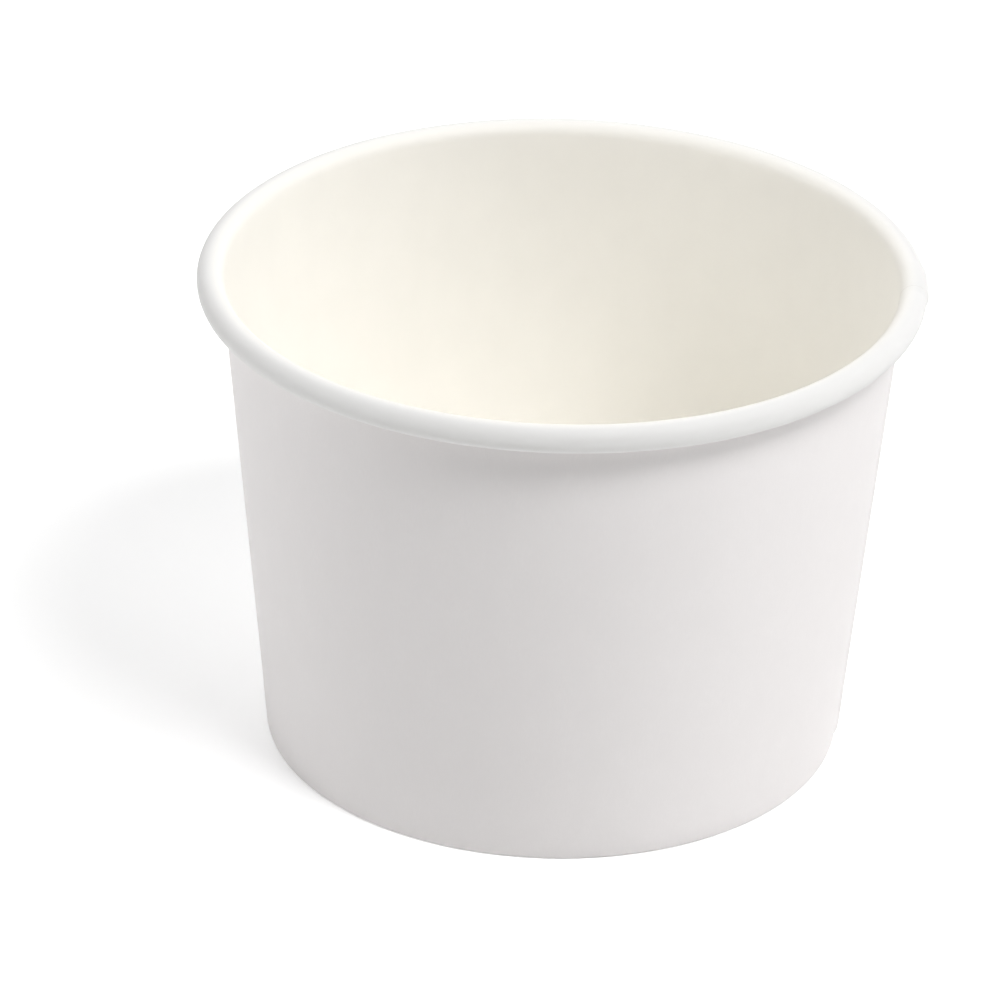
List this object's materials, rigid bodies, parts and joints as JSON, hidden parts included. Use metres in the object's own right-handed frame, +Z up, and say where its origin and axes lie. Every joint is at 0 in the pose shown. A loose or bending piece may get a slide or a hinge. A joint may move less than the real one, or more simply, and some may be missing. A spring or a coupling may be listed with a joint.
{
  "type": "paper sundae cup",
  "caption": "Open paperboard cup for sundaes and ice cream: tapered wall with a rolled rim, a lapped side seam, and a recessed floor held in the hemmed foot.",
  "frame": {"origin": "centre of the foot ring, on the plane that the cup stands on", "axes": "+Z up along the cup's axis, towards the rim; the lap seam runs down the +X side; the picture looks along +Y"},
  "size_m": [0.09, 0.09, 0.0635],
  "materials": {
    "wall_board": "matt white board outside, cream sealing film inside",
    "floor_board": "cream board with a soft sheen from its sealing film"
  },
  "bodies": {
    "root": {"side_wall": "wall_board", "bottom_disc": "floor_board"}
  },
  "joints": []
}
